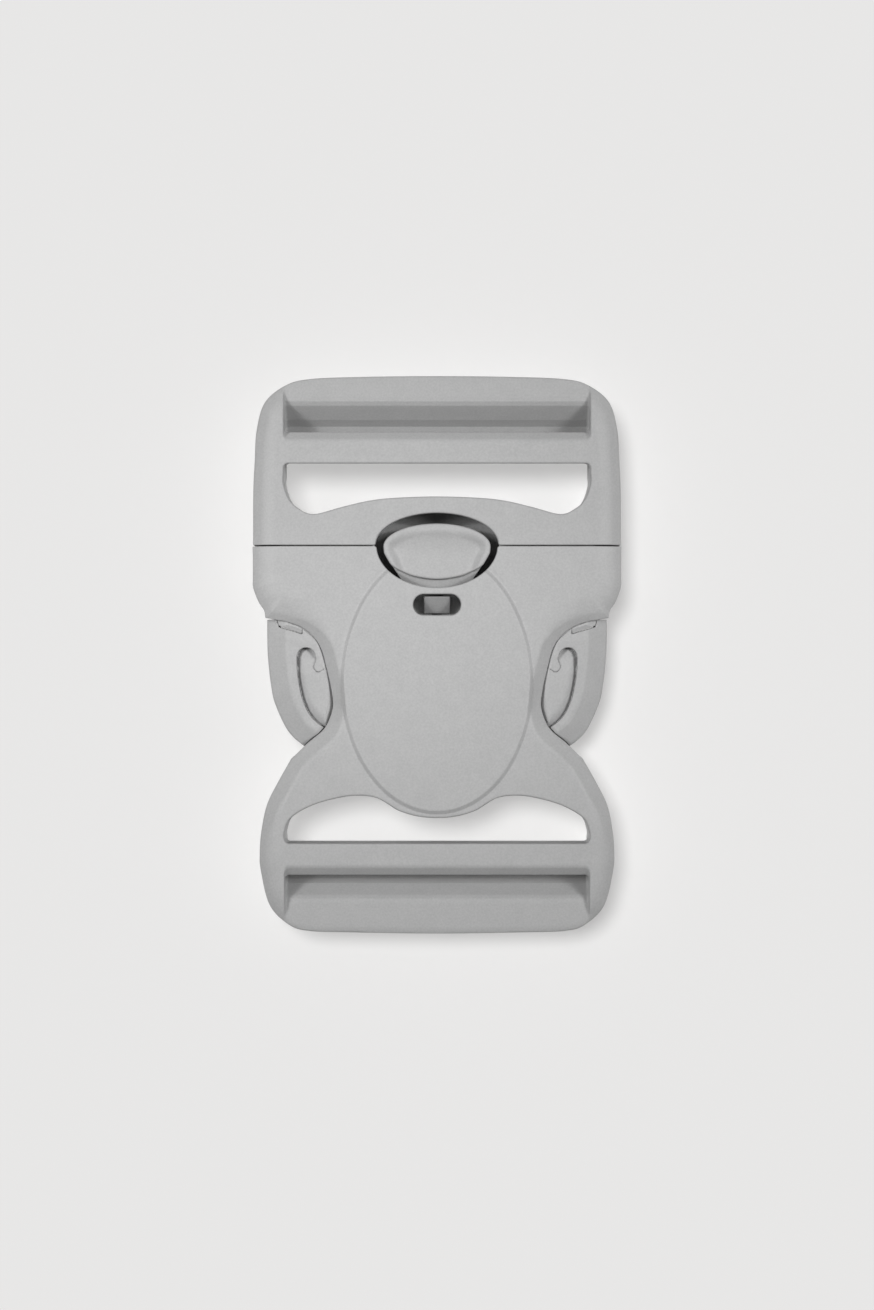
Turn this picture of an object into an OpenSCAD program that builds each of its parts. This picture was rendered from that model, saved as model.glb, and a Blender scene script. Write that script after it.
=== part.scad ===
// Three-point side-release buckle for 50 mm webbing, shown fastened.
// X runs across the strap, Y along it with the plug at +Y, and Z out of the face.
// The flat back lies at Z = 0, and X = Y = 0 is the middle of the fastened buckle.

/* [Body] */
// Length of the fastened buckle
body_l = 93.9; // [93:0.1:95]
// Width across the socket mouth
body_w = 62.1; // [61.5:0.1:63]
// Thickness without the raised face plate
body_t = 14; // [13.5:0.1:15]
// Width of the slope along the outer edges
slope_w = 2.5; // [1:0.1:3]
// Drop of the slope along the outer edges
slope_drop = 2; // [0.5:0.1:2.3]

/* [Webbing frames] */
// Clear width of the webbing slots
slot_w = 51.4; // [50.5:0.1:52]
// How far the end bars sit below the rails beside them
bar_drop = 1.8; // [1:0.1:2.5]
// Height where the ramp of each end bar meets its foot, which leads the webbing under the middle bar
foot_z = 7.4; // [7:0.1:8]

/* [Socket] */
// Face and back wall thickness
wall_t = 2.4; // [1.8:0.1:2.6]
// Rise of the oval face plate
plate_rise = 0.5; // [0.3:0.1:0.8]
// Length of the catch slot
catch_l = 8; // [6:0.1:9]
// Width of the catch slot
catch_w = 3.3; // [3.2:0.1:3.5]

/* [Plug] */
// Place of the parting line along the strap
part_y = 18.46; // [18.3:0.01:18.6]
// Gap between the plug and the socket at the parting line
part_gap = 0.4; // [0.3:0.1:0.6]
// Running gap of the plug inside the socket
fit_gap = 0.25; // [0.2:0.05:0.4]
// Half width of the press button
button_rx = 9; // [8.9:0.05:9.4]
// Top of the press button, below the face of the plug
button_drop = 0.3; // [0:0.1:1]
// Thickness of the spring tongue
tongue_t = 3.2; // [2.4:0.1:3.6]

/* [Hidden] */

plastic = [0.72, 0.72, 0.72];

end_y = body_l / 2;
side_x = body_w / 2;
plug_x = side_x - 0.1;
web_x = 29.9;
plug_y = part_y + part_gap / 2;
mouth_y = part_y - part_gap / 2;
beyond = 1;

// Heights of the plug inside the socket, of the tongue in it, and of its button and tooth
in_z0 = wall_t + fit_gap;
in_z1 = body_t - wall_t - fit_gap;
tongue_z1 = in_z1 - 0.95;
tongue_z0 = tongue_z1 - tongue_t;
button_z = body_t - button_drop;
dish_depth = 1.2;
rim_w = 1.1;
lead_in_z = body_t - 1.1;
tooth_z = body_t - 1.5;
tooth_w = 4.44;
stem_z = body_t - 2.1;
pocket_depth = 1.4;
hook_r = 1.55;
ear_slope_w = 3.4;
ear_slope_drop = 2.15;
well_z = 4.5;
relief_w = 0.3;
relief_z = tongue_z0 + 0.8;
foot_fall = 1.4;

// Half widths, from the middle line outwards, of the pieces inside the socket
collar_x = 26.5;
inner_x = 26.85;
ear_x = 28.5;
arm_out_x = 22.45;
hook_x = 22.05;
blade_x = 9.5;
slot_in_x = 6.75;
stem_x = 6;
window_x = 10.18;

// Places along the strap
window_top_y = 23.82;
window_low_y = 11.28;
button_y = 18.2;
button_top_y = 22.08;
collar_y = 9.9;
lead_in_y = 9.7;
catch_y = 8.5;
tooth_y0 = 7.1;
tooth_y1 = 9.84;
hook_y = -0.3;
blade_y = -8;
root_y = -4;
core_y = -18;
shoulder_y = -16;
plate_y = -4.52;
plate_rx = 15.85;
plate_ry = 21.9;

// Plug frame from its side to the middle of its end: half width, in from the plug end
plug_rim = [
    [plug_x, 21], [plug_x - 0.25, 14.4], [plug_x - 0.6, 9], [plug_x - 2, 4.4],
    [plug_x - 5.5, 1.55], [plug_x - 9.6, 0.5], [plug_x - 18.5, 0.13], [0, 0]
];

// Inner edge of the plug's webbing slot, from its side to the middle: half width, in from the plug end
plug_slot_edge = [
    [slot_w / 2, 16.5], [slot_w / 2, 18.2], [24.85, 20.75], [23.3, 22.3], [20.7, 23.3],
    [15.9, 22.1], [11.6, 21.1], [7.3, 20.6], [0, 20.35]
];

// Plug bars, as side sections: in from the plug end, height
plug_mid_bar = [
    [11, body_t], [14.95, body_t], [14.4, 5.6], [13.7, 5], [12.9, 5.4], [12.3, 8.6], [9.6, body_t - 2.2],
    [9.5, body_t - 1.6]
];
plug_end_bar = [
    [-beyond, 1.5], [-beyond, body_t - bar_drop - 1], [3.8, body_t - bar_drop], [4.8, body_t - bar_drop - 0.35],
    [5.5, body_t - bar_drop - 1.1], [8.4, foot_z], [9.9, foot_z - foot_fall], [9.9, foot_z - foot_fall - 1.4],
    [7.8, 0], [1, 0]
];

// Socket side from the mouth to the neck: half width, place along the strap
mouth_side = [
    [side_x, 12.8], [side_x, 11.6], [side_x - 0.35, 10.4], [side_x - 1, 8.85],
    [side_x - 1.95, 7.45], [side_x - 2.15, 6.3]
];
neck_edge = [
    [side_x - 2.2, 6.25], [27.3, 5.95], [24.9, 5.5], [22, 4.2], [19.75, 1.6],
    [18.6, -2.1], [17.6, -6.9], [17.65, -9.4], [18.95, -12.2], [21.7, -14.6], [24.3, -17.1]
];

// Socket frame from its shoulder to the middle of its end: half width, in from the socket end
socket_rim = [
    [24.6, 29.5], [26.75, 25.7], [28.7, 21.7], [29.65, 17.1], [web_x, 13.5], [29.7, 10.6],
    [28.2, 4.8], [24.95, 1.5], [21.6, 0.45], [14.5, 0.2], [0, 0]
];

// Inner edge of the socket's webbing slot, from its side to the middle: half width, in from the socket end
socket_slot_edge = [
    [slot_w / 2, 15.8], [slot_w / 2, 17.2], [24.45, 19.65], [20.7, 21.8], [15.9, 23.1], [12.6, 23.35],
    [10, 22.9], [7.9, 21.7], [6.4, 20.8], [3.4, 19.9], [0, 19.6]
];

// Socket bars, as side sections: in from the socket end, height
socket_mid_bar = [
    [11.45, body_t], [15.35, body_t], [15.4, 5.6], [14.7, 5], [13.8, 5.4], [12.8, 8.6], [10.1, body_t - 2.2],
    [10, body_t - 1.6]
];
socket_end_bar = [
    [-beyond, 1.5], [-beyond, body_t - bar_drop - 1], [5.6, body_t - bar_drop], [6.5, body_t - bar_drop - 0.5],
    [8.4, foot_z + 1.9], [9.1, foot_z], [10.4, foot_z - foot_fall - 0.4], [10.4, foot_z - foot_fall - 1.6],
    [8.3, 0], [1, 0]
];

// Lower edge of the press button, from its side to its foot: half width, place
button_foot = [
    [button_rx - 0.1, 17.15], [8.15, 15.8], [7.5, 14.95], [5.9, 14.05], [3.7, 13.2], [0, 12.72]
];

// Tongue as a side section, stepped up beside the button's foot: place along the strap, height
tongue_section = [
    [button_y, tongue_z0], [button_y, stem_z], [window_low_y, stem_z - 0.1],
    [lead_in_y + 0.2, tongue_z1], [root_y - beyond, tongue_z1], [root_y - beyond, tongue_z0]
];

// Side of the tongue, from under the button to the blade tip: half width, place
tongue_side = [
    [8, 16], [7.35, 14.75], [6.2, 12.8], [stem_x, 11.5], [stem_x, root_y - beyond]
];

// Prong outside, from the shoulder round the ear to the tip and up the inner side of its arm: half width, place
ear_side = [
    [ear_x, 5.85], [ear_x, 1.1], [28.2, -2.1], [27.8, -5.3], [27.2, -8.2], [25.2, -12.65],
    [22.8, -15.1], [20.6, -15.95], [18.4, -15.3], [16.6, -12.6], [15.4, -8], [15.6, -2], [17.3, 4], [18.2, 10.4]
];

// J-shaped pocket in a prong, down its outer wall, round its foot and back to the hook: half width, place
pocket_outer = [
    [23.65, -0.3], [23.55, -2.9], [23.2, -5.3], [22.6, -7.7], [21.65, -9.75], [20.4, -11.2], [18.95, -12.15],
    [17.7, -12], [17.2, -10.4], [16.9, -6.5], [17.1, -3.2], [18.6, -2.25], [19.9, -2.85], [20.75, -2.1],
    [20.5, -0.3]
];

// Catch ledge beside the socket mouth, from under the neck edge to the mouth: half width, place
ledge = [
    [28.6, 6.35], [26.95, 6.1], [26.7, 4.97], [22.65, 3.5], [22.65, 8.1], [23.95, 9.5], [inner_x, 12.1]
];

// Socket core that closes the hollow at its foot, from the middle line to the shoulder: half width, place
core_edge = [
    [0, core_y], [13, core_y], [16, -17], [19.5, -17.4], [22.9, -16.6], [24.3, -17.1]
];

// Point on the smooth curve through b and c, with neighbours a and d, at t from 0 to 1
function curve_point(a, b, c, d, t) =
    0.5 * (2 * b + (c - a) * t + (2 * a - 5 * b + 4 * c - d) * t * t + (3 * b - a - 3 * c + d) * t * t * t);

// Smooth curve through a table of points, with n steps from each point to the next
function curve(p, n = 3) = concat([
    for (i = [0:len(p) - 2], k = [0:n - 1])
        curve_point(p[max(i - 1, 0)], p[i], p[i + 1], p[min(i + 2, len(p) - 1)], k / n)
], [p[len(p) - 1]]);

// Table rows of half width and place, as points on the left side
function left(p) = [for (q = p) [-q[0], q[1]]];

// Table rows of half width and distance in from an end, as points on the left side
function from_plug_end(p) = [for (q = p) [-q[0], end_y - q[1]]];
function from_socket_end(p) = [for (q = p) [-q[0], q[1] - end_y]];

// Side sections with their distance from an end, as points of Y and Z
function plug_section(p) = [for (q = p) [end_y - q[0], q[1]]];
function socket_section(p) = [for (q = p) [q[0] - end_y, q[1]]];

// Left outline with its mirror image, closed across the middle line
function both_sides(p) = concat(p, [for (i = [len(p) - 1:-1:0]) if (abs(p[i][0]) > 0.01) [-p[i][0], p[i][1]]]);

// Part of an ellipse from angle a0 to a1
function oval(cy, rx, ry, a0 = 0, a1 = 352.5, n = 47) =
    [for (i = [0:n]) let (a = a0 + (a1 - a0) * i / n) [rx * cos(a), cy + ry * sin(a)]];

// Press button drawn in by a margin, its top an arch and its foot drawn in less
function button_outline(margin, foot_margin) = both_sides(concat(
    oval(button_y, button_rx - margin, button_top_y - button_y - margin, 90, 180, 9),
    [for (q = button_foot) [-q[0] * (1 - margin / button_rx), q[1] + foot_margin]]
));

module both_hands() {
    children();
    mirror([1, 0, 0]) children();
}

module along_x(w) {
    translate([-w / 2, 0, 0]) rotate([90, 0, 90]) linear_extrude(w) children();
}

module along_y(y0, y1) {
    translate([0, y1, 0]) rotate([90, 0, 0]) linear_extrude(y1 - y0) children();
}

module level(z0, z1) {
    translate([0, 0, z0]) linear_extrude(z1 - z0) children();
}

// Room inside the sloped outer edges, as a prism along the strap
module edge_slopes(x, y0, y1) {
    along_y(y0, y1) polygon(both_sides([
        [-x + slope_w, 0], [-x, slope_drop], [-x, body_t - slope_drop], [-x + slope_w, body_t]
    ]));
}

// Room inside the rails, which fall towards the end of a webbing frame; y is the way out, 1 or -1
module rail_fall(y) {
    along_x(body_w + beyond) polygon([
        [-y * end_y, 0], [y * (end_y - 3), 0], [y * (end_y + 0.5), 1.6],
        [y * (end_y + 0.5), body_t - bar_drop - 0.1], [y * (end_y - 6.5), body_t], [-y * end_y, body_t]
    ]);
}

// Outline of the button window, a low arch above the parting line and a bowl below it
module window_shape() {
    polygon(concat(
        oval(part_y, window_x, window_top_y - part_y, 0, 180, 18),
        oval(part_y, window_x - 0.15, part_y - window_low_y, 184, 356, 23)
    ));
}

// Outline of the catch slot, a round-ended slot, grown by a margin
module catch_shape(margin) {
    round_x = (catch_l - catch_w) / 2;
    r = catch_w / 2 + margin;
    translate([-round_x, catch_y]) circle(r = r, $fn = 32);
    translate([round_x, catch_y]) circle(r = r, $fn = 32);
    translate([-round_x, catch_y - r]) square([2 * round_x, 2 * r]);
}

// Webbing frame of the plug, with its collar wall and two bars
module plug_frame() {
    outline = concat([[-plug_x, plug_y]], curve(from_plug_end(plug_rim)));
    slot = concat([[-slot_w / 2, end_y + beyond]], curve(from_plug_end(plug_slot_edge)));
    intersection() {
        level(0, body_t) polygon(both_sides(outline));
        edge_slopes(plug_x, plug_y - beyond, end_y + beyond);
        rail_fall(1);
        union() {
            difference() {
                level(-beyond, body_t + beyond) translate([-side_x, plug_y]) square([body_w, end_y]);
                level(-2 * beyond, body_t + 2 * beyond) polygon(both_sides(slot));
            }
            along_x(slot_w + 2 * beyond) polygon(plug_section(plug_mid_bar));
            along_x(slot_w + 2 * beyond) polygon(plug_section(plug_end_bar));
        }
    }
}

// Part of the plug that fills the socket mouth
module collar() {
    level(in_z0, in_z1) polygon(both_sides([
        [-collar_x, plug_y + beyond], [-collar_x, collar_y + 2.5], [-collar_x + 2.8, collar_y], [0, collar_y]
    ]));
}

// Left squeeze prong: a springy arm, and an ear whose shoulder catches the ledge
module prong() {
    outline = concat(
        [[-arm_out_x, 10.4], [-arm_out_x, 3.2], [-26.7, 4.68], [-27, 4.8], [-27.2, 5.85]], curve(left(ear_side))
    );
    pocket = curve(left(pocket_outer), 2);
    web_z0 = in_z0 + pocket_depth;
    web_z1 = in_z1 - pocket_depth;
    difference() {
        intersection() {
            level(in_z0, in_z1) polygon(outline);
            along_y(-20, 20) polygon([
                [-10, in_z0], [-ear_x + ear_slope_w, in_z0], [-ear_x, in_z0 + ear_slope_drop],
                [-ear_x, in_z1 - ear_slope_drop], [-ear_x + ear_slope_w, in_z1], [-10, in_z1]
            ]);
        }
        level(web_z1, in_z1 + beyond) prong_pocket(pocket);
        level(in_z0 - beyond, web_z0) prong_pocket(pocket);
    }
}

module prong_pocket(pocket) {
    polygon(pocket);
    translate([-hook_x, hook_y]) circle(r = hook_r, $fn = 32);
}

// Centre blade: two rails joined at the tip, where the tongue has its root
module blade() {
    level(in_z0, in_z1) difference() {
        polygon(both_sides([
            [-13, 11], [-13, 9.5], [-blade_x, 6], [-blade_x, blade_y + 2], [-blade_x + 2, blade_y], [0, blade_y]
        ]));
        polygon(both_sides([[-window_x, 12], [-window_x, 10.5], [-slot_in_x, 7.4], [-slot_in_x, root_y]]));
    }
}

// Springy tongue with the press button at its free end, the tooth that catches in the face plate, and a relief
// pocket on each side of the tooth
module tongue() {
    difference() {
        intersection() {
            level(tongue_z0 - beyond, body_t) polygon(both_sides(left(tongue_side)));
            along_x(2 * button_rx) polygon(tongue_section);
        }
        both_hands() level(relief_z, body_t) intersection() {
            catch_shape(relief_w);
            translate([tooth_w / 2, catch_y - catch_w]) square([catch_l / 2, 2 * catch_w]);
        }
    }
    difference() {
        level(tongue_z0, button_z) polygon(button_outline(0, 0));
        level(button_z - dish_depth, button_z + beyond) polygon(button_outline(rim_w, 0.4));
    }
    along_x(tooth_w) polygon([
        [tooth_y0, tongue_z1 - beyond], [tooth_y0, tooth_z - 1.7], [tooth_y1 - 0.5, tooth_z],
        [tooth_y1, tooth_z], [tooth_y1, tongue_z1 - beyond]
    ]);
}

// The plug, one moulding
module plug() {
    color(plastic) union() {
        difference() {
            union() {
                plug_frame();
                collar();
            }
            level(well_z, body_t + beyond) {
                window_shape();
                translate([-window_x, collar_y - beyond]) square([2 * window_x, plug_y - collar_y + beyond]);
            }
        }
        both_hands() prong();
        blade();
        tongue();
    }
}

// Face or back wall of the socket, from the mouth to the end of the webbing frame
function socket_outline() = both_sides(concat(
    [[-side_x, mouth_y]], curve(left(mouth_side)), curve(left(neck_edge)), curve(from_socket_end(socket_rim))
));

// Walls and ledges between the face and the back
module mouth_wall() {
    polygon(concat([[-side_x, mouth_y]], curve(left(mouth_side)), left(ledge), [[-inner_x, mouth_y]]));
}

module core() {
    polygon(both_sides(concat(left(core_edge), curve(from_socket_end(socket_rim)))));
}

// Webbing slots of the socket, open from the inner edge to the end
module socket_slot() {
    polygon(both_sides(concat(
        [[-slot_w / 2, -end_y - beyond]], curve(from_socket_end(socket_slot_edge))
    )));
}

module socket_shell() {
    difference() {
        union() {
            level(0, wall_t) polygon(socket_outline());
            level(body_t - wall_t, body_t) polygon(socket_outline());
            level(wall_t - 0.2, body_t - wall_t + 0.2) {
                both_hands() mouth_wall();
                core();
            }
        }
        level(-beyond, body_t + beyond) socket_slot();
    }
}

// The socket, one moulding
module socket() {
    color(plastic) difference() {
        union() {
            intersection() {
                union() {
                    socket_shell();
                    intersection() {
                        level(0, body_t) polygon(socket_outline());
                        union() {
                            along_x(slot_w + 2 * beyond) polygon(socket_section(socket_mid_bar));
                            along_x(slot_w + 2 * beyond) polygon(socket_section(socket_end_bar));
                        }
                    }
                }
                rail_fall(-1);
                union() {
                    edge_slopes(side_x, shoulder_y, mouth_y + beyond);
                    edge_slopes(web_x, -end_y - beyond, shoulder_y + 0.1);
                }
            }
            level(body_t - beyond, body_t + plate_rise) polygon(oval(plate_y, plate_rx, plate_ry));
        }
        along_x(2 * window_x) polygon([
            [lead_in_y, body_t - wall_t - beyond], [lead_in_y, body_t - wall_t],
            [window_low_y + 0.3, lead_in_z + 0.2], [window_low_y + 3, lead_in_z + 0.2],
            [window_low_y + 3, body_t - wall_t - beyond]
        ]);
        level(body_t - wall_t - beyond, body_t + 2 * beyond) {
            window_shape();
            catch_shape(0);
        }
    }
}

plug();
socket();
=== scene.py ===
"""A fastened three-point side-release buckle for 50 mm webbing, in matte grey nylon, on a pale studio floor.

Each moulding is described as a solid inside the box of its CAD node, in millimetres, and its skin is then drawn
over it with every edge rounded as the mould leaves it.
"""

import math

import bpy
import mathutils
import numpy as np
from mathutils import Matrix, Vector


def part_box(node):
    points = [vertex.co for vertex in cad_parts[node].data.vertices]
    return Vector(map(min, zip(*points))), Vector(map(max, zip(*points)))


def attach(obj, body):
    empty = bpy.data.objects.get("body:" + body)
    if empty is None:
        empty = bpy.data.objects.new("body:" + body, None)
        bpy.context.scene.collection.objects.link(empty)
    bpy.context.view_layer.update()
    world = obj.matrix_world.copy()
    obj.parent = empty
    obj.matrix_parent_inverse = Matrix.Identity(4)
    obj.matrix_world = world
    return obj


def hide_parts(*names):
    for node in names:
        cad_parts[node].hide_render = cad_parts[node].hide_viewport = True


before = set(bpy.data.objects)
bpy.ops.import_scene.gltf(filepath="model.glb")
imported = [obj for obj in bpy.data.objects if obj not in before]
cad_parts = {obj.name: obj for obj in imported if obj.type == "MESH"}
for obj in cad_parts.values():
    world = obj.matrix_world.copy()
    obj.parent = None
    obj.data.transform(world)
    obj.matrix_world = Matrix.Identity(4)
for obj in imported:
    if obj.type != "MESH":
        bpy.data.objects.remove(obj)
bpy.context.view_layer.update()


# The plug: one moulding of grey nylon, with the webbing frame at its end, the collar and blade that slide into
# the socket, a sprung tongue that carries the press button, and a squeeze prong on each side.
# It comes out of a two-part mould, so its walls run straight along Z and its edges are softly rounded.

# Sizes are in millimetres: half is the distance from the middle line, y runs along the strap and z is height
MM = 0.001
plug_low, plug_high = (np.array(corner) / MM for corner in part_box("plug"))
socket_low, socket_high = (np.array(corner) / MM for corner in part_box("socket"))

thick = plug_high[2]
plug_side = plug_high[0]
plug_end = plug_high[1]
mouth_y = socket_high[1]
plug_y = mouth_y + 0.2
wall = 2.2
inner_low = wall + 0.25
inner_high = thick - inner_low


def smooth(points, steps=8):
    """A smooth curve through the rows of a table, level where it ends on the middle line."""
    rows = np.array(points, float)
    beyond_end = rows[-2] * (-1, 1) if rows[-1][0] == 0 else rows[-1]
    padded = np.vstack([rows[:1], rows, [beyond_end]])
    drawn = []
    for a, b, c, d in zip(padded, padded[1:], padded[2:], padded[3:]):
        for t in np.arange(steps) / steps:
            drawn.append(0.5 * (2 * b + (c - a) * t + (2 * a - 5 * b + 4 * c - d) * t**2
                                + (3 * b - a - 3 * c + d) * t**3))
    return np.vstack([drawn, rows[-1:]])


def from_end(points, end):
    """Table rows of half width and distance in from an end, as half width and place."""
    return [(half, end - math.copysign(inward, end)) for half, inward in points]


def across_middle(points, reach=4.0):
    """A half outline, closed on the far side of the middle line."""
    rows = np.array(points, float)
    return np.vstack([rows, [[-reach, rows[-1][1]], [-reach, rows[0][1]]]])


def turned_left(outline):
    """The same closed outline, running anticlockwise."""
    x, y = outline.T
    area = np.sum(x * np.roll(y, -1) - y * np.roll(x, -1))
    return outline if area > 0 else outline[::-1]


def depth_map(outline, spacing=0.06, margin=3.0):
    """The distance to a closed outline, negative inside it, worked out on a fine grid and looked up from there."""
    outline = np.array(outline, float)
    low = outline.min(0) - margin
    counts = np.ceil((outline.max(0) + margin - low) / spacing).astype(int) + 1
    a = (low[0] + spacing * np.arange(counts[0], dtype=np.float32))[:, None].astype(np.float32)
    b = (low[1] + spacing * np.arange(counts[1], dtype=np.float32))[None, :].astype(np.float32)
    nearest = np.full(counts, 1e6, np.float32)
    inside = np.zeros(counts, bool)
    for (ax, ay), (bx, by) in zip(outline, np.roll(outline, -1, 0)):
        ex, ey = bx - ax, by - ay
        length = ex * ex + ey * ey
        if length < 1e-12:
            continue
        t = np.clip(((a - ax) * ex + (b - ay) * ey) / length, 0, 1)
        np.minimum(nearest, (a - ax - t * ex) ** 2 + (b - ay - t * ey) ** 2, out=nearest)
        if ay != by:
            inside ^= ((ay > b) != (by > b)) & (a < ex * (b - ay) / ey + ax)
    table = np.where(inside, -1, 1) * np.sqrt(nearest)

    def depth(across, along):
        i = np.clip((across - low[0]) / spacing, 0, counts[0] - 1.001)
        j = np.clip((along - low[1]) / spacing, 0, counts[1] - 1.001)
        i0, j0 = i.astype(int), j.astype(int)
        i, j = i - i0, j - j0
        near = table[i0, j0] * (1 - i) + table[i0 + 1, j0] * i
        far = table[i0, j0 + 1] * (1 - i) + table[i0 + 1, j0 + 1] * i
        return near * (1 - j) + far * j

    return depth


def rounded_section(points, radius):
    """The distance to a closed section whose outward corners are rounded to a radius."""
    outline = turned_left(np.array(points, float))
    before = outline - np.roll(outline, 1, 0)
    after = np.roll(outline, -1, 0) - outline
    inward = [np.stack([-e[:, 1], e[:, 0]], 1) / np.linalg.norm(e, axis=1)[:, None] for e in (before, after)]
    dot = np.sum(inward[0] * inward[1], 1)[:, None]
    depth = depth_map(outline + radius * (inward[0] + inward[1]) / (1 + dot))
    return lambda along, up: depth(along, up) - radius


def both(a, b, r):
    """Where both solids are, with the edge between them rounded to radius r."""
    return np.minimum(np.maximum(a, b), -r) + np.hypot(np.maximum(a + r, 0), np.maximum(b + r, 0))


def either(a, b, r):
    """Where at least one of the solids is, with a fillet of radius r between them."""
    return -both(-a, -b, r)


def soft_max(a, b, r):
    return (a + b + np.hypot(a - b, r)) / 2


def soft_ramp(a, width, r):
    """0 before a is 0 and 1 after it is width, straight in between with its two bends eased."""
    return -soft_max(-soft_max(a, 0, r), -width, r) / width


def sloped(rim, up, width, drop, r):
    """Below a flat top at up = 0 whose outer band, inside the rim, slopes down."""
    band = ((rim + width) * drop + up * width) / np.hypot(width, drop)
    return both(up, band, r)


def falling(top, along, up, end, fall, r=0.5):
    """The same top, falling towards the end of a frame."""
    length, run, drop = fall
    start = end - length
    plane = ((along - start) * drop + up * run) / math.hypot(run, drop)
    return soft_max(top, plane, r)


def slope_across(along, up, along_part, up_part):
    """The distance past a plane that slopes along the strap, and faces along it and up by these parts."""
    return (along * along_part + up * up_part) / math.hypot(along_part, up_part)


def crisper_at_parting(y, parting):
    """How much less the outer edges are rounded where the two mouldings meet."""
    return 0.2 * np.clip(1.5 - np.abs(y - parting), 0, 1)


# Half width, and distance in from the plug's end of the buckle
plug_rim = [
    (plug_side, 38.9), (plug_side, 21), (plug_side - 0.25, 14.4), (plug_side - 0.6, 9), (plug_side - 2, 4.4),
    (plug_side - 5.5, 1.55), (plug_side - 9.6, 0.5), (plug_side - 18.5, 0.13), (0, 0)
]
plug_slot = [
    (25.75, 16.5), (25.75, 18.2), (24.85, 20.75), (23.3, 22.3), (20.7, 23.3), (15.9, 22.1), (11.6, 21.1),
    (7.3, 20.6), (0, 20.35)
]

# Sections of the bars: distance in from that end, and height
plug_middle_bar = [
    (12.9, 16), (14.95, 16), (14.4, 5.6), (13.7, 5), (12.9, 5.4), (12.3, 8.6), (9.5, 11.9), (9.5, 12.4)
]
plug_end_bar = [
    (-2, 1), (-2, 12.2), (3.5, 12.2), (4.3, 12.1), (5.0, 11.65), (5.5, 11.05), (7.2, 8.85), (8.2, 7.05),
    (8.3, 6.95), (9.3, 6.1), (9.9, 5.5), (9.9, 4.6), (7.8, 0), (7.4, -1), (1, -1)
]

# Half width, and place along the strap
button_foot = [(8.9, 17.15), (8.15, 15.8), (7.5, 14.95), (5.9, 14.05), (3.7, 13.2), (0, 12.72)]
tongue_side = [(8, 16), (7.35, 14.75), (6.2, 12.8), (6, 11.5), (6, -5)]
ear_side = [
    (28.7, 5.95), (28.65, 1.1), (28.42, -2.1), (28.02, -5.3), (27.38, -8.2), (25.3, -12.65), (22.8, -15.1),
    (20.6, -15.95), (18.4, -15.3), (16.6, -12.6), (15.4, -8), (15.6, -2), (17.3, 4), (18.2, 10.4)
]
pocket_side = [
    (23.65, -0.3), (23.55, -2.9), (23.2, -5.3), (22.6, -7.7), (21.65, -9.75), (20.4, -11.2), (18.95, -12.15),
    (17.7, -12), (17.2, -10.4), (16.9, -6.5), (17.1, -3.2), (18.6, -2.25), (19.9, -2.85), (20.75, -2.1), (20.5, -0.3)
]
neck_side = [
    (28.85, 6.25), (27.3, 5.95), (24.9, 5.5), (22, 4.2), (19.75, 1.6), (18.6, -2.1), (17.6, -6.9),
    (17.65, -9.4), (18.95, -12.2), (21.7, -14.6), (24.3, -17.1)
]

# Section of the tongue: place along the strap, and height
tongue_high = thick - 3.6
tongue_low = tongue_high - 4.9
tongue_section = [
    (18.2, tongue_low), (18.2, 12.35), (14.3, 12.35), (11.3, 10.5), (9.9, tongue_high), (-5, tongue_high),
    (-5, tongue_low)
]

# The round window, half of it in the plug and half in the socket, and the button inside it
angles = np.radians(np.arange(0, 360, 3))
window_half, window_top, window_foot = 10.18, 23.82, 11.28
arch_half = window_half + 0.15
button_side, button_y, button_rise = 9, 18.2, 3.88
arch = [
    (arch_half * math.cos(a), plug_y + (window_top - plug_y) * math.sin(a)) for a in angles if a < math.pi
]
bowl = [
    (window_half * math.cos(a), plug_y + (plug_y - window_foot) * math.sin(a)) for a in angles if a >= math.pi
]
button_top = [
    (button_side * math.cos(a), button_y + button_rise * math.sin(a)) for a in np.radians(np.arange(90, -1, -6))
]
button_outline = [*button_top, *smooth(button_foot)]
button_outline = across_middle([(0, button_outline[0][1]), *button_outline[1:]])
button_rim = across_middle([*button_top, *button_foot[:2], (7.3, 13.5), (6.4, 8), (0, 8)])

plug_frame_map = depth_map(across_middle(smooth(from_end(plug_rim, plug_end))))
plug_slot_map = depth_map(across_middle([(25.75, plug_end + 3), *smooth(from_end(plug_slot, plug_end))]))
plug_middle_map = rounded_section([(plug_end - inward, up) for inward, up in plug_middle_bar], 0.3)
plug_end_map = rounded_section([(plug_end - inward, up) for inward, up in plug_end_bar], 0.3)
collar_map = depth_map(across_middle([(26.5, plug_y + 2), (26.5, 12.4), (23.7, 9.9), (0, 9.9)]))
window_map = depth_map([*arch, *bowl])
ear_map = depth_map([*smooth(ear_side), (10, 10.4), (10, 14), (28.5, 14)])
prong_map = depth_map([
    (22.64, 10.4), (22.64, 3.47), (26.65, 4.72), (26.93, 5.97), *smooth(ear_side)
])
pocket_map = depth_map(smooth(pocket_side + pocket_side[:1]))
pocket_wall_map = depth_map([
    (21, 0.85), (22.05, 1.25), (23.1, 0.85), *pocket_side[:7], (30, -12.15), (30, 8), (21, 8)
])
neck_map = depth_map([*smooth(neck_side), (10, -17.1), (10, 6.25)])
blade_map = depth_map(across_middle([(13, 11), (13, 9.5), (9.5, 6), (9.5, -6), (7.5, -8), (0, -8)]))
blade_slot_map = depth_map(across_middle([(10.18, 12), (10.18, 10.5), (6.75, 7.4), (6.75, -4), (0, -4)]))
button_map = depth_map(button_outline)
button_rim_map = depth_map(button_rim)
tongue_map = depth_map(across_middle(tongue_side))
tongue_section_map = depth_map(tongue_section)

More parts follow.
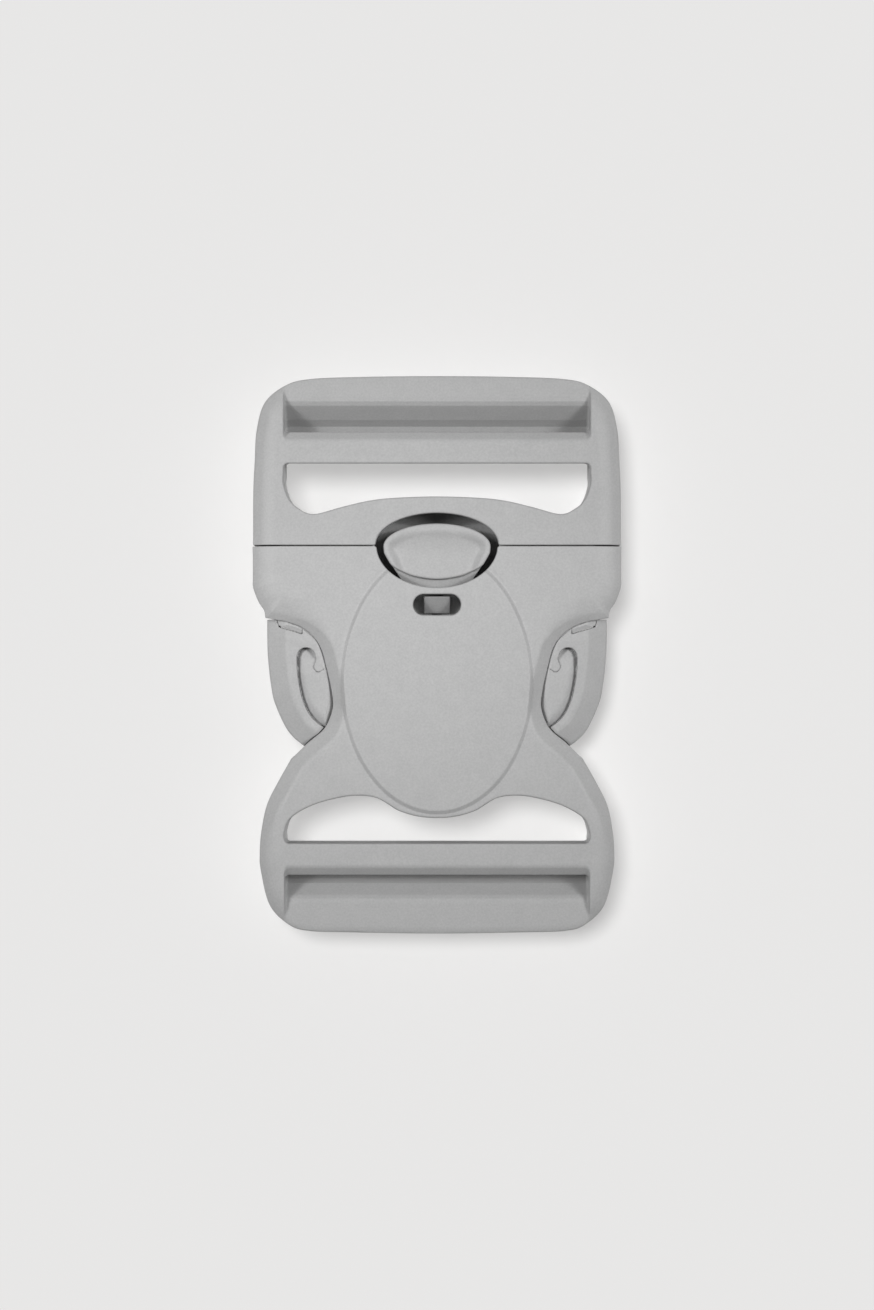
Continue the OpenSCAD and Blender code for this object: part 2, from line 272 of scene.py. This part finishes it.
# Slopes of the frames: along the rim its width, drop and easing; towards the end its length, run and drop
plug_rim_slope = (2.5, 1.9, 0.9)
back_rim_slope = (2.5, 2.0, 1.3)
face_fall = (5.5, 6.0, 1.7)
back_fall = (3.0, 3.5, 1.6)

# Roundings of the edges and fillets beside the bars
outer_edge, well_edge, inner_edge, fine_edge, sharp_edge = 0.35, 0.3, 0.2, 0.15, 0.1
middle_bar_fillet, end_bar_fillet = 0.8, 0.5

# The well round the button, which widens below the face at 45 degrees
well_foot, well_floor = 8.9, 3.3
well_undercut, undercut_height = 1.5, 11.5

# The prongs: how far their tops rise above the plug's other inner parts, and how much more they rise beside the
# neck; the slope of their ears; their pockets, whose floor falls towards the outer wall and the round head
prong_rise = 0.2
neck_lift, neck_lift_start, neck_lift_run, neck_lift_reach, neck_lift_end = 0.36, 0.08, 0.1, 3, 3.4
ear_slope = (3.4, 2.15, 0.25)
pocket_head_half, pocket_head_y, pocket_head_r = 22.05, -0.3, 1.55
pocket_depth, pocket_wall_depth, pocket_wall_width = 0.2, 1.15, 1.9
pocket_head_depth, pocket_head_reach = 0.4, 2.4
pocket_back_depth = 1.4

# Their edges, crisp only beside the socket's catch ledges
prong_round, ledge_crisp, ledge_crisp_reach = 0.3, 0.24, 1.6
ledge_half, ledge_y = 24.7, 4.6
ledge_half_reach, ledge_y_reach = 2.2, 1.2

# The button's dish, the tooth with its slope, and the hollow round the tooth
button_gap, button_edge, button_fillet = 0.3, 0.4, 0.12
dish_depth, dish_foot, dish_length = 1.15, 16.2, 4.8
dish_rim, dish_slope, dish_ease = 0.7, 1.2, 0.3
tooth_half, tooth_foot, tooth_back, tooth_top = 2.22, 7, 9.84, 12.9
tooth_foot_height, tooth_slope = 9.5, (2.4, 2.0)
relief_half, relief_y, relief_r, relief_floor = 2.3, 8.5, 2.0, 8.3


def plug_solid(x, y, z):
    half = np.abs(x)
    up, down = z - thick, -z

    # Webbing frame: sloped along its rim, its rails falling towards the end, with two bars across its slot
    rim = plug_frame_map(half, y)
    top = falling(sloped(rim, up, *plug_rim_slope), y, up, plug_end, face_fall)
    back = falling(sloped(rim, down, *back_rim_slope), y, down, plug_end, back_fall)
    plan = either(-plug_slot_map(half, y), plug_middle_map(y, z), middle_bar_fillet)
    plan = either(plan, plug_end_map(y, z), end_bar_fillet)
    solid = both(both(rim, plan, sharp_edge), plug_y - y, sharp_edge)
    face_edge = outer_edge - crisper_at_parting(y, plug_y)
    solid = both(both(solid, top, face_edge), back, outer_edge)

    # Collar in the socket's mouth, with the well that the button sinks into
    inner = np.maximum(z - inner_high, inner_low - z)
    solid = np.minimum(solid, both(collar_map(half, y), inner, inner_edge))
    below_arch = np.maximum(y - plug_y - 0.2, well_foot - y)
    well = np.minimum(window_map(half, y), np.maximum(half - window_half, below_arch))
    well = well - well_undercut * np.clip((undercut_height - z) / well_undercut, 0, 1)
    solid = both(solid, -np.maximum(well, well_floor - z), well_edge)

    # Squeeze prong, its ear sloped along the outside and its top lifted beside the neck
    past_neck = neck_map(half, y)
    lift = neck_lift * np.clip((past_neck + neck_lift_start) / neck_lift_run, 0, 1)
    lift = lift * np.clip(1.1 - past_neck / neck_lift_reach, 0, 1)
    prong_high = inner_high + prong_rise + lift * np.clip(neck_lift_end - y, 0, 1)
    ear = ear_map(half, y)
    prong_top = sloped(ear, z - prong_high, *ear_slope)
    prong_back = sloped(ear, inner_low - z, *ear_slope)
    past_ledge = np.hypot(
        np.maximum(np.abs(half - ledge_half) - ledge_half_reach, 0),
        np.maximum(np.abs(y - ledge_y) - ledge_y_reach, 0)
    )
    prong_edge = prong_round - ledge_crisp * np.clip(ledge_crisp_reach - past_ledge, 0, 1)
    prong = both(both(prong_map(half, y), prong_top, prong_edge), prong_back, prong_edge)

    # Pockets that thin it from both sides
    from_head = np.hypot(half - pocket_head_half, y - pocket_head_y)
    pocket = np.minimum(pocket_map(half, y), from_head - pocket_head_r)
    by_wall = np.clip(1 - pocket_wall_map(half, y) / pocket_wall_width, 0, 1)
    by_head = np.clip(1.2 - from_head / pocket_head_reach, 0, 1)
    depth = pocket_depth + pocket_wall_depth * by_wall**2 + pocket_head_depth * by_head
    face_pocket = np.maximum(pocket, prong_high - depth - z)
    back_pocket = np.maximum(pocket, z - inner_low - pocket_back_depth)
    solid = np.minimum(solid, both(prong, -np.minimum(face_pocket, back_pocket), fine_edge))

    # Centre blade
    blade = both(blade_map(half, y), -blade_slot_map(half, y), inner_edge)
    solid = np.minimum(solid, both(blade, inner, inner_edge))

    # Tongue, with the dished button and the tooth on it
    tongue = both(tongue_map(half, y), tongue_section_map(y, z), fine_edge)
    relief = np.hypot(np.maximum(half - relief_half, 0), y - relief_y) - relief_r
    relief = np.maximum(relief, relief_floor - z)
    solid = np.minimum(solid, np.maximum(tongue, -relief))
    scoop = dish_depth * (1 - np.clip((y - dish_foot) / dish_length, 0, 1)**2)
    dish = scoop * soft_ramp(-button_rim_map(half, y) - dish_rim, dish_slope, dish_ease)
    button = both(button_map(half, y), z - (thick - button_gap) + dish, button_edge)
    solid = either(solid, both(button, tongue_low - z, inner_edge), button_fillet)
    tooth_plan = both(half - tooth_half, np.maximum(y - tooth_back, tooth_foot - y), sharp_edge)
    tooth_ramp = slope_across(tooth_foot - y, z - tooth_foot_height, *tooth_slope)
    tooth = both(tooth_plan, np.maximum(z - tooth_top, tooth_ramp), fine_edge)
    return np.minimum(solid, np.maximum(tooth, tongue_low - z))


def surface(solid, point, reach=0.02):
    """A solid's distance at points, and which way it grows."""
    height = solid(*point.T)
    slope = np.stack([
        (solid(*(point + reach * e).T) - solid(*(point - reach * e).T)) / (2 * reach) for e in np.eye(3)
    ], 1)
    return height, slope


def skin(solid, low, high, cell, name):
    """A closed mesh over a solid that is the same on both sides of the middle line."""
    # The grid is set off by part of a cell, so that no flat face lies right on it
    xs = np.arange(0, high[0] + 2 * cell, cell)
    ys = np.arange(low[1] - 2 * cell, high[1] + 2 * cell, cell) + 0.37 * cell
    zs = np.arange(low[2] - 2 * cell, high[2] + 2 * cell, cell) + 0.41 * cell
    value = solid(xs[:, None, None], ys[None, :, None], zs[None, None, :]).astype(np.float32)
    value = np.concatenate([value[:0:-1], value])
    xs = np.concatenate([-xs[:0:-1], xs])
    inside = value < 0

    # One vertex in each cell that the surface passes through, at the middle of its crossings
    shape = tuple(n - 1 for n in inside.shape)
    corners = [(i, j, k) for i in (0, 1) for j in (0, 1) for k in (0, 1)]
    filled = sum(inside[i:i + shape[0], j:j + shape[1], k:k + shape[2]].astype(np.int8) for i, j, k in corners)
    cells = np.argwhere((filled > 0) & (filled < 8))
    number = np.full(shape, -1, np.int64)
    number[tuple(cells.T)] = np.arange(len(cells))
    at_corner = np.stack([value[tuple((cells + c).T)] for c in corners], 1)
    total, count = np.zeros((len(cells), 3)), np.zeros(len(cells))
    for p, c in enumerate(corners):
        for q, d in enumerate(corners):
            if sum(d) - sum(c) == 1 and all(n >= m for m, n in zip(c, d)):
                crosses = (at_corner[:, p] < 0) != (at_corner[:, q] < 0)
                step = at_corner[:, q] - at_corner[:, p]
                t = np.where(crosses, -at_corner[:, p] / np.where(crosses, step, 1), 0)
                total += crosses[:, None] * (np.array(c) + t[:, None] * (np.array(d) - np.array(c)))
                count += crosses
    point = cells + total / count[:, None]
    point = np.stack([np.interp(point[:, n], np.arange(len(line)), line) for n, line in enumerate((xs, ys, zs))], 1)

    # One quad round each grid edge that the surface crosses
    quads = []
    for axis in range(3):
        u, v = (axis + 1) % 3, (axis + 2) % 3
        first = [slice(None)] * 3
        second = [slice(None)] * 3
        first[axis], second[axis] = slice(None, -1), slice(1, None)
        crossing = inside[tuple(first)] != inside[tuple(second)]
        where = np.argwhere(crossing)
        where = where[(where[:, u] > 0) & (where[:, u] < shape[u]) & (where[:, v] > 0) & (where[:, v] < shape[v])]
        step_u, step_v = np.eye(3, dtype=int)[u], np.eye(3, dtype=int)[v]
        ring = [number[tuple((where - a * step_u - b * step_v).T)] for a, b in ((1, 1), (0, 1), (0, 0), (1, 0))]
        quad = np.stack(ring, 1)
        outward = inside[tuple(where.T)]
        quads.append(np.where(outward[:, None], quad, quad[:, ::-1]))
    quads = np.concatenate(quads)

    # Each vertex is pulled onto the surface
    for _ in range(3):
        height, slope = surface(solid, point)
        step = height / np.maximum(np.sum(slope**2, 1), 0.25)
        point -= slope * np.clip(step, -cell / 2, cell / 2)[:, None]
    point = np.clip(point, low, high)

    mesh = bpy.data.meshes.new(name)
    mesh.vertices.add(len(point))
    mesh.vertices.foreach_set("co", (point * MM).astype(np.float32).ravel())
    mesh.loops.add(quads.size)
    mesh.loops.foreach_set("vertex_index", quads.astype(np.int32).ravel())
    mesh.polygons.add(len(quads))
    mesh.polygons.foreach_set("loop_start", np.arange(0, quads.size, 4, dtype=np.int32))
    mesh.polygons.foreach_set("use_smooth", np.ones(len(quads), bool))
    mesh.update(calc_edges=True)
    piece = bpy.data.objects.new(name, mesh)
    bpy.context.scene.collection.objects.link(piece)

    # Flat faces are merged, in tiles a few millimetres wide
    tile_size, flat_degrees = 4, 0.25
    tile = np.floor(point[quads[:, 0]] / tile_size).astype(int) % 2
    mesh.polygons.foreach_set("material_index", (tile @ (1, 2, 4)).astype(np.int32))
    merge = piece.modifiers.new("merge_flats", "DECIMATE")
    merge.decimate_type = "DISSOLVE"
    merge.delimit = {"MATERIAL"}
    merge.angle_limit = math.radians(flat_degrees)
    depsgraph = bpy.context.evaluated_depsgraph_get()
    merged = bpy.data.meshes.new_from_object(piece.evaluated_get(depsgraph))
    piece.modifiers.clear()
    piece.data = merged
    merged.name = name

    def read(items, key, width):
        values = np.zeros(len(items) * width, np.float32)
        items.foreach_get(key, values)
        return values.reshape(-1, width)

    # The shading follows the solid itself, and on merged faces the face
    _, slope = surface(solid, read(merged.vertices, "co", 3).astype(float) / MM)
    normal = slope / np.linalg.norm(slope, axis=1)[:, None]
    normal = normal[read(merged.loops, "vertex_index", 1)[:, 0].astype(int)]
    flat = read(merged.polygons, "area", 1)[:, 0] > 1.5 * (cell * MM)**2
    corners_of = read(merged.polygons, "loop_total", 1)[:, 0].astype(int)
    flat_normal = np.repeat(read(merged.polygons, "normal", 3), corners_of, 0)
    normal = np.where(np.repeat(flat, corners_of)[:, None], flat_normal, normal)
    merged.polygons.foreach_set("material_index", np.zeros(len(merged.polygons), np.int32))
    merged.normals_split_custom_set(normal.tolist())
    return piece


def moulded_nylon(name, grey):
    """Matte nylon from a lightly eroded mould: a fine grain, faint mottling and an even soft sheen."""
    material = bpy.data.materials.new(name)
    material.use_nodes = True
    nodes, links = material.node_tree.nodes, material.node_tree.links
    shader = nodes["Principled BSDF"]
    shader.inputs["Specular IOR Level"].default_value = 0.4
    place = nodes.new("ShaderNodeTexCoord")

    def noise(size, detail):
        node = nodes.new("ShaderNodeTexNoise")
        node.inputs["Scale"].default_value = 1 / (size * MM)
        node.inputs["Detail"].default_value = detail
        links.new(place.outputs["Object"], node.inputs["Vector"])
        return node.outputs["Fac"]

    def spread(value, low, high):
        node = nodes.new("ShaderNodeMapRange")
        node.inputs["From Min"].default_value = 0.3
        node.inputs["From Max"].default_value = 0.7
        node.inputs["To Min"].default_value = low
        node.inputs["To Max"].default_value = high
        links.new(value, node.inputs["Value"])
        return node.outputs["Result"]

    mottle, grain, fine = noise(2.5, 3), noise(0.32, 2), noise(0.16, 1)
    tint = nodes.new("ShaderNodeMix")
    tint.data_type = "RGBA"
    tint.inputs["A"].default_value = (grey * 0.92, grey * 0.92, grey * 0.922, 1)
    tint.inputs["B"].default_value = (grey * 1.08, grey * 1.08, grey * 1.078, 1)
    blend = nodes.new("ShaderNodeMath")
    blend.operation = "ADD"
    links.new(spread(mottle, 0.0, 0.25), blend.inputs[0])
    links.new(spread(grain, 0.0, 0.75), blend.inputs[1])
    links.new(blend.outputs["Value"], tint.inputs["Factor"])
    links.new(tint.outputs["Result"], shader.inputs["Base Color"])
    links.new(spread(grain, 0.52, 0.62), shader.inputs["Roughness"])
    coarse_bump = nodes.new("ShaderNodeBump")
    coarse_bump.inputs["Strength"].default_value = 0.5
    coarse_bump.inputs["Distance"].default_value = 0.02 * MM
    links.new(grain, coarse_bump.inputs["Height"])
    fine_bump = nodes.new("ShaderNodeBump")
    fine_bump.inputs["Strength"].default_value = 0.4
    fine_bump.inputs["Distance"].default_value = 0.01 * MM
    links.new(fine, fine_bump.inputs["Height"])
    links.new(coarse_bump.outputs["Normal"], fine_bump.inputs["Normal"])
    links.new(fine_bump.outputs["Normal"], shader.inputs["Normal"])
    return material


cell = 0.2
plug = skin(plug_solid, plug_low, plug_high, cell, "plug_moulding")
plug.data.materials.append(moulded_nylon("plug_nylon", 0.405))
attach(plug, "root")
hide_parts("plug")


# The socket: one moulding of the same nylon. Its face and back walls are joined by the sides of its mouth and by
# a solid core, and its waist is open at the sides for the prongs. The face carries an oval plate, cut by the
# window for the button and by the slot that the tongue's tooth springs into.

socket_side = socket_high[0]
socket_end = socket_low[1]
plate_rise = socket_high[2] - thick

# Half width, and place along the strap
mouth_side = [
    (socket_side, 12.8), (socket_side, 11.6), (socket_side - 0.35, 10.4), (socket_side - 1, 8.85),
    (socket_side - 1.95, 7.45), (socket_side - 2.15, 6.3)
]

# Half width, and distance in from the socket's end of the buckle
socket_rim = [
    (24.6, 29.5), (26.75, 25.7), (28.7, 21.7), (29.65, 17.1), (29.9, 13.5), (29.7, 10.6), (28.2, 4.8),
    (24.95, 1.5), (21.6, 0.45), (14.5, 0.2), (0, 0)
]
socket_slot = [
    (25.6, 15.8), (25.6, 17.2), (24.45, 19.65), (20.7, 21.8), (15.9, 23.1), (12.6, 23.35), (10, 22.9), (7.9, 21.7),
    (6.4, 20.8), (3.4, 19.9), (0, 19.6)
]

# Sections of the bars: distance in from that end, and height
socket_middle_bar = [
    (13.35, 16), (15.35, 16), (15.4, 5.6), (14.7, 5), (13.8, 5.4), (12.8, 8.6), (10, 11.9), (10, 12.4)
]
socket_end_bar = [
    (-2, 1), (-2, 12.2), (5.3, 12.2), (6.0, 12.06), (6.6, 11.6), (8.4, 9.3), (9.1, 7.4),
    (10.4, 5.6), (10.4, 4.4), (8.3, 0), (7.9, -1), (1, -1)
]

# Half width, and place along the strap
ledge_side = [(28.5, 7.5), (28.6, 6.35), (26.95, 6.1), (26.72, 4.97), (22.65, 3.5), (22.65, 8.1), (24, 9.5)]
core_side = [(0, -18), (13, -18), (16, -17), (19.5, -17.4), (22.9, -16.6), (24.3, -17.1)]

neck_curve = smooth(neck_side)[:-1]
rim_curve = smooth(from_end(socket_rim, socket_end))
socket_outline = [(socket_side, 30), *smooth(mouth_side), *neck_curve, *rim_curve]
mouth_wall = [
    (socket_side, 30), *smooth(mouth_side), *ledge_side[1:6], (23.95, 9.5), (26.85, 12.1), (26.85, 30)
]
plate_half, plate_middle, plate_half_length = 15.85, -4.52, 21.9
plate = [(plate_half * math.cos(a), plate_middle + plate_half_length * math.sin(a)) for a in angles]

socket_map = depth_map(across_middle(socket_outline))
socket_slot_map = depth_map(across_middle([(25.6, socket_end - 3), *smooth(from_end(socket_slot, socket_end))]))
socket_middle_map = rounded_section([(socket_end + inward, up) for inward, up in socket_middle_bar], 0.3)
socket_end_map = rounded_section([(socket_end + inward, up) for inward, up in socket_end_bar], 0.5)
mouth_map = depth_map(mouth_wall)
ledge_map = depth_map(ledge_side)
core_map = depth_map(across_middle([*core_side, *rim_curve]))
plate_map = depth_map(plate)

# Stretches of the strap where edges are crisper: their two ends, and how far each takes to fade. Along the neck
# the slope is also narrower, shallower and crisper by this much
crisp_stretch = (-32, 8, 8, 6)
neck_stretch = (-13, 9, 3, 3)
crisp_ease, neck_narrower, neck_shallower, neck_crisper = 1.0, 0.35, 0.2, 0.28

# The step up to the face plate, and the groove round its upper half
plate_step, plate_step_ease = 0.6, 0.06
groove_depth, groove_place, groove_width, groove_start, groove_fade = 0.2, 0.2, 0.6, 1, 6

# The catch ledges: the corner of their lower edge, which way it runs, and how far in its slope starts
ledge_corner_half, ledge_corner_y = 22.65, 3.5
ledge_along, ledge_down, ledge_slope_start, ledge_slope = 0.34, 0.94, 0.7, 0.6
ledge_edge = 0.04

# The catch slot, how far below the face it and the window are cut, and the slope under them for the tongue
catch_half, catch_r, catch_y = 4.0, 1.77, 8.43
cut_depth = wall + 0.5
lead_foot, lead_foot_height, lead_slope = 9.7, 11.6, (1.5, 1.9)
lead_end, lead_low, lead_high = 14, 11, 13.1


def stretch(y, low, high, low_fade, high_fade):
    """1 along a stretch of the strap, fading to 0 towards its two ends."""
    return np.clip(np.minimum((high - y) / high_fade, (y - low) / low_fade), 0, 1)


def socket_solid(x, y, z):
    half = np.abs(x)
    crisp, neck = stretch(y, *crisp_stretch), stretch(y, *neck_stretch)

    # Webbing frame, shell and neck in one outline, with the face plate raised from it
    rim = socket_map(half, y)
    past_plate = plate_map(half, y)
    groove = groove_depth * np.clip((y - groove_start) / groove_fade, 0, 1)
    groove = groove * np.exp(-((past_plate - groove_place) / groove_width)**2)
    raised = plate_rise * soft_ramp(plate_step / 2 - past_plate, plate_step, plate_step_ease) - groove
    up, down = z - thick - raised, -z
    width, drop, ease = back_rim_slope
    top = sloped(rim, up, width - neck_narrower * neck, drop - neck_shallower * neck, ease - crisp_ease * crisp)
    top = falling(top, -y, up, -socket_end, face_fall)
    back = falling(sloped(rim, down, *back_rim_slope), -y, down, -socket_end, back_fall)
    plan = either(-socket_slot_map(half, y), socket_middle_map(y, z), middle_bar_fillet)
    plan = either(plan, socket_end_map(y, z), end_bar_fillet)
    solid = both(both(rim, plan, sharp_edge), y - mouth_y, sharp_edge)
    face_edge = outer_edge - neck_crisper * neck - crisper_at_parting(y, mouth_y)
    solid = both(both(solid, top, face_edge), back, outer_edge)

    # Hollow between its two walls, but for what joins them
    between = np.maximum(z - thick + wall, wall - z)
    infill = np.minimum(mouth_map(half, y), core_map(half, y))
    hollow = both(-infill, between, inner_edge)
    solid = both(solid, -hollow, inner_edge)

    # Catch ledges, their tops in line with the prongs' ears and sloping to their lower edge
    ledge_fall = (half - ledge_corner_half) * ledge_along - (y - ledge_corner_y) * ledge_down + ledge_slope_start
    ledge_up = z - inner_high - prong_rise
    ledge_top = sloped(ear_map(half, y), ledge_up, *ear_slope)
    ledge_top = np.maximum(ledge_top, ledge_up + ledge_slope * np.maximum(ledge_fall, 0))
    solid = np.minimum(solid, np.maximum(both(ledge_map(half, y), between, ledge_edge), ledge_top))

    # Window for the button and catch slot, with the tongue's lead-in under them
    catch = np.hypot(np.maximum(half - catch_half + catch_r, 0), y - catch_y) - catch_r
    openings = np.minimum(window_map(half, y), catch)
    solid = both(solid, -np.maximum(openings, thick - cut_depth - z), well_edge)
    lead = slope_across(lead_foot - y, z - lead_foot_height, *lead_slope)
    lead = np.maximum(np.maximum(lead, z - lead_high), half - window_half)
    lead = np.maximum(lead, np.maximum(y - lead_end, lead_low - z))
    return both(solid, -lead, fine_edge)


socket = skin(socket_solid, socket_low, socket_high, cell, "socket_moulding")
socket.data.materials.append(moulded_nylon("socket_nylon", 0.42))
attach(socket, "root")
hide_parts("socket")


# The studio: a pale paper sheet that the buckle lies on, with a soft lamp to its left and another to its right,
# both a little towards the plug, and a faint pale surround. A narrow lamp beside each adds light at the upper
# left. The sheet has its own soft light, so that its shadow is faint. The camera looks straight down.

scene = bpy.context.scene
sheet_half = 4.0
floor_mesh = bpy.data.meshes.new("floor")
corners = [(a * sheet_half, b * sheet_half, 0) for a, b in ((-1, -1), (1, -1), (1, 1), (-1, 1))]
floor_mesh.from_pydata(corners, [], [(0, 1, 2, 3)])
floor = bpy.data.objects.new("floor", floor_mesh)
scene.collection.objects.link(floor)
paper = bpy.data.materials.new("pale_paper")
paper.use_nodes = True
paper_shader = paper.node_tree.nodes["Principled BSDF"]
paper_shader.inputs["Base Color"].default_value = (0.80, 0.795, 0.79, 1)
paper_shader.inputs["Roughness"].default_value = 0.9
paper_shader.inputs["Specular IOR Level"].default_value = 0
floor_mesh.materials.append(paper)

surround = bpy.data.worlds.new("surround")
surround.use_nodes = True
background = surround.node_tree.nodes["Background"]
background.inputs["Color"].default_value = (1, 1, 1, 1)
background.inputs["Strength"].default_value = 0.08
scene.world = surround


def hang(name, kind, place, aim, lit, **settings):
    """A lamp at a place, aimed at a point, that lights only some of the objects."""
    lamp = bpy.data.lights.new(name, kind)
    for key, value in settings.items():
        setattr(lamp, key, value)
    held = bpy.data.objects.new(name, lamp)
    held.location = place
    held.rotation_mode = "QUATERNION"
    held.rotation_quaternion = (held.location - mathutils.Vector(aim)).to_track_quat("Z", "Y")
    scene.collection.objects.link(held)
    lit_by = bpy.data.collections.new("lit_by_" + name)
    for thing in lit:
        lit_by.objects.link(thing)
    held.light_linking.receiver_collection = lit_by


centre = (0, 0, 0.014)
pool_centre = (-0.016, 0.013, 0.014)
for side, word in ((-1, "left"), (1, "right")):
    place = (0.85 * side, 0.17, 1.1)
    hang(f"soft_box_{word}", "AREA", place, centre, [plug, socket], shape="DISK", size=0.5, energy=9.8)
    hang(f"pool_{word}", "SPOT", place, pool_centre, [plug, socket],
         spot_size=math.radians(5.0), spot_blend=1.0, shadow_soft_size=0.03, energy=17.0)
hang("sheet_key", "SUN", (-0.185, 0.19, 1.1), centre, [floor], angle=math.radians(18), energy=1.4)
hang("sheet_fill", "SUN", (0, 0, 1), centre, [floor], angle=0, energy=1.54, use_shadow=False)

focus_height = 0.0135
camera_height = 0.600
seen_length = 0.2198
camera = bpy.data.cameras.new("camera")
camera.sensor_width = 36
camera.lens = camera.sensor_width * camera_height / seen_length
camera_rig = bpy.data.objects.new("camera", camera)
camera_rig.location = (0, 0, focus_height + camera_height)
scene.collection.objects.link(camera_rig)
scene.camera = camera_rig
scene.view_settings.view_transform = "Standard"
